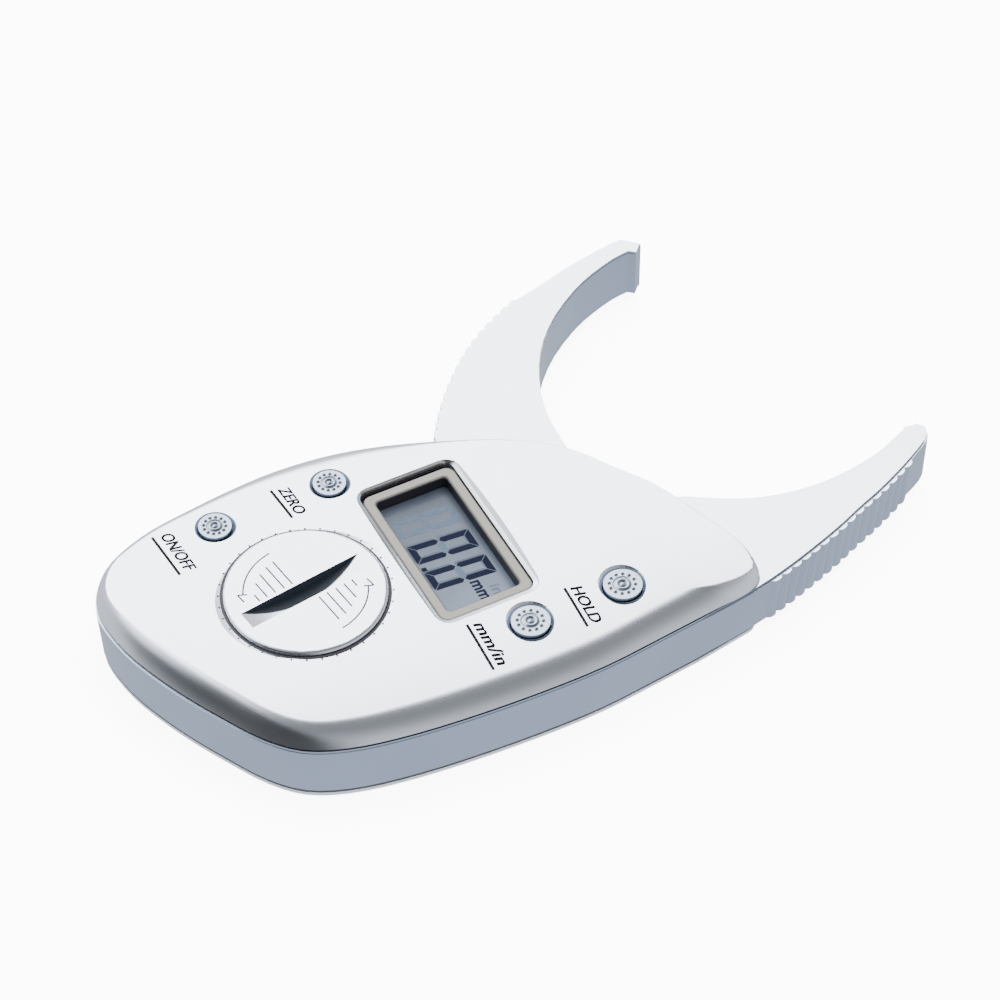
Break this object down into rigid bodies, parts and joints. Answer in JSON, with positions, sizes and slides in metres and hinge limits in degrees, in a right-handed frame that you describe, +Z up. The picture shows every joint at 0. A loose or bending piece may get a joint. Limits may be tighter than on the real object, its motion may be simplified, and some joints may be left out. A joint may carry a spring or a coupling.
{
  "type": "digital skinfold caliper",
  "caption": "Hand-held caliper with a fixed and a swinging curved jaw, finger ribs, small display, press keys and a coin-slot battery cover.",
  "frame": {"origin": "on the flat underside, on the axis that the moving jaw turns about", "axes": "+X the way the display reads, +Y towards the jaws, +Z up out of the face; rest pose is jaws fully open"},
  "size_m": [0.0862, 0.141, 0.0173],
  "materials": {
    "painted_silver": "satin metallic silver paint over moulded plastic",
    "jaw_silver": "satin silver-grey, moulded",
    "base_grey": "plain moulded grey",
    "bezel_warm_grey": "satin warm grey",
    "black_plastic": "matt black",
    "lcd_grey": "grey reflective display glass",
    "black_rubber": "matt",
    "board_green": "green lacquered glass-fibre board",
    "bright_steel": "bright plated",
    "spring_steel": "bare spring steel",
    "contact_brass": "bare",
    "white_acetal": "smooth moulded"
  },
  "bodies": {
    "housing": {"top_cover": "painted_silver", "frame": "jaw_silver", "bottom_cover": "base_grey", "pivot_pin": "bright_steel", "friction_washer": "spring_steel", "pivot_clip": "spring_steel", "return_spring": "spring_steel", "encoder_axle": "bright_steel", "encoder_sensor": "black_plastic", "circuit_board": "board_green", "display_bezel": "bezel_warm_grey", "display_holder": "black_plastic", "lcd_glass": "lcd_grey", "lcd_strip_upper": "black_rubber", "lcd_strip_lower": "black_rubber", "coin_cell": "bright_steel", "contact_minus": "contact_brass", "contact_plus": "contact_brass", "switch_on_off": "black_plastic", "switch_zero": "black_plastic", "switch_mm_in": "black_plastic", "switch_hold": "black_plastic", "housing_screw_1": "bright_steel", "housing_screw_2": "bright_steel", "housing_screw_3": "bright_steel", "housing_screw_4": "bright_steel", "board_screw_1": "bright_steel", "board_screw_2": "bright_steel", "board_screw_3": "bright_steel"},
    "jaw": {"moving_jaw": "jaw_silver", "sector_gear": "white_acetal"},
    "encoder": {"encoder_pinion": "white_acetal", "encoder_disc": "black_plastic"},
    "on_off_key": {"button_on_off": "painted_silver"},
    "zero_key": {"button_zero": "painted_silver"},
    "mm_in_key": {"button_mm_in": "painted_silver"},
    "hold_key": {"button_hold": "painted_silver"},
    "battery_lid": {"battery_cover": "painted_silver", "battery_seal": "black_rubber"}
  },
  "joints": [
    {"name": "jaw_hinge", "type": "hinge", "parent": "housing", "child": "jaw", "pos_m": [0, 0, 0.007], "axis": [0, 0, 1], "range_deg": [-52.6, 0], "stiffness_Nm_per_rad": 0.03, "springref_deg": 28.65},
    {"name": "encoder_spin", "type": "hinge", "parent": "housing", "child": "encoder", "pos_m": [0.00544, -0.02028, 0.007], "axis": [0, 0, 1], "range_deg": [0, 211]},
    {"name": "on_off_press", "type": "slide", "parent": "housing", "child": "on_off_key", "axis": [0, 0, 1], "range_m": [-0.0003, 0], "stiffness_N_per_m": 1500, "springref_m": 0.0001},
    {"name": "zero_press", "type": "slide", "parent": "housing", "child": "zero_key", "axis": [0, 0, 1], "range_m": [-0.0003, 0], "stiffness_N_per_m": 1500, "springref_m": 0.0001},
    {"name": "mm_in_press", "type": "slide", "parent": "housing", "child": "mm_in_key", "axis": [0, 0, 1], "range_m": [-0.0003, 0], "stiffness_N_per_m": 1500, "springref_m": 0.0001},
    {"name": "hold_press", "type": "slide", "parent": "housing", "child": "hold_key", "axis": [0, 0, 1], "range_m": [-0.0003, 0], "stiffness_N_per_m": 1500, "springref_m": 0.0001},
    {"name": "battery_lid_turn", "type": "hinge", "parent": "housing", "child": "battery_lid", "pos_m": [0, -0.039, 0.015], "axis": [0, 0, 1], "range_deg": [0, 45]}
  ],
  "couplings": [
    {"joint": "encoder_spin", "follows": "jaw_hinge", "ratio": -4}
  ]
}
